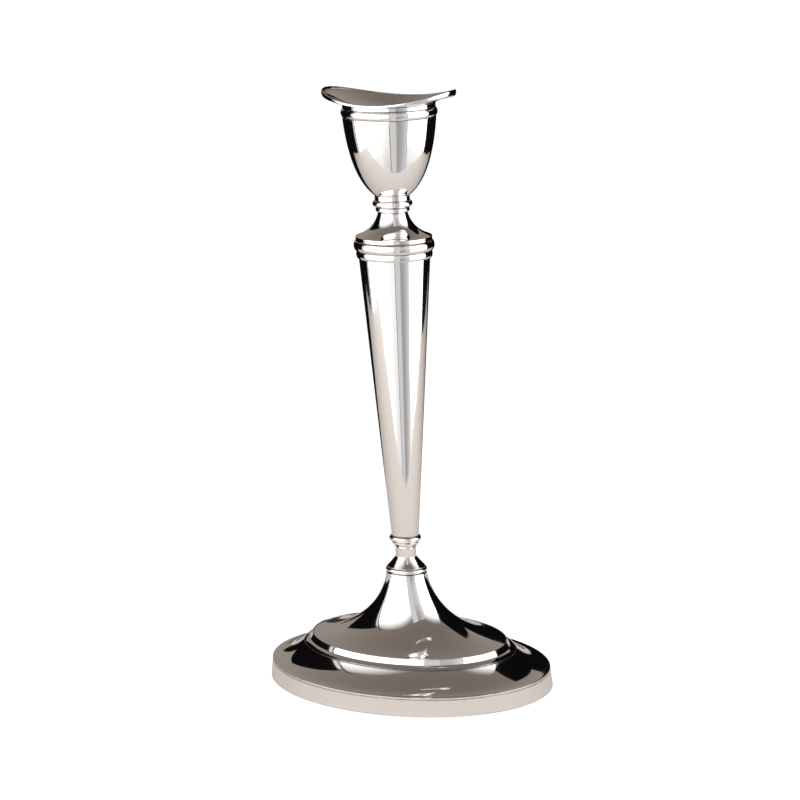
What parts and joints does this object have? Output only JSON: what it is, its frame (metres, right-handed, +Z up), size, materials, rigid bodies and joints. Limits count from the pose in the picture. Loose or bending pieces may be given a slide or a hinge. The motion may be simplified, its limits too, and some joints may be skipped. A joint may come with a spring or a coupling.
{
  "type": "candlestick",
  "caption": "Oval silver table candlestick with a stepped trumpet foot, tapered column, urn sconce and a lift-off saddle-shaped drip pan with its candle cup.",
  "frame": {"origin": "middle of the oval foot on the surface that the candlestick stands on", "axes": "+Z up along the stem, +X along the long side of the oval, +Y across it"},
  "size_m": [0.1428, 0.1034, 0.286],
  "materials": {
    "silver": "mirror polished silver, slightly warm",
    "steel": "plain drawn steel, hidden inside",
    "baize": "dark green napped baize",
    "plaster": "cast plaster, hidden inside"
  },
  "bodies": {
    "stick": {"baize_pad": "baize", "base_plate": "steel", "foot_band": "silver", "foot_border": "silver", "foot_moulding": "silver", "foot_dome": "silver", "foot_filling": "plaster", "dome_bead": "silver", "dome_ring": "silver", "lower_knop": "silver", "column_ring": "silver", "column": "silver", "lower_reed": "silver", "upper_reed": "silver", "shoulder": "silver", "upper_knop_ring": "silver", "upper_knop": "silver", "sconce": "silver", "sconce_bead": "silver", "sconce_mouth": "silver", "tie_rod": "steel", "rod_washer": "steel", "rod_nut": "steel"},
    "nozzle": {"drip_pan": "silver", "pan_rim": "silver", "candle_cup": "silver", "pan_skirt": "silver"}
  },
  "joints": [
    {"name": "nozzle_lift", "type": "slide", "parent": "stick", "child": "nozzle", "axis": [0, 0, 1], "range_m": [0, 0.035]}
  ]
}
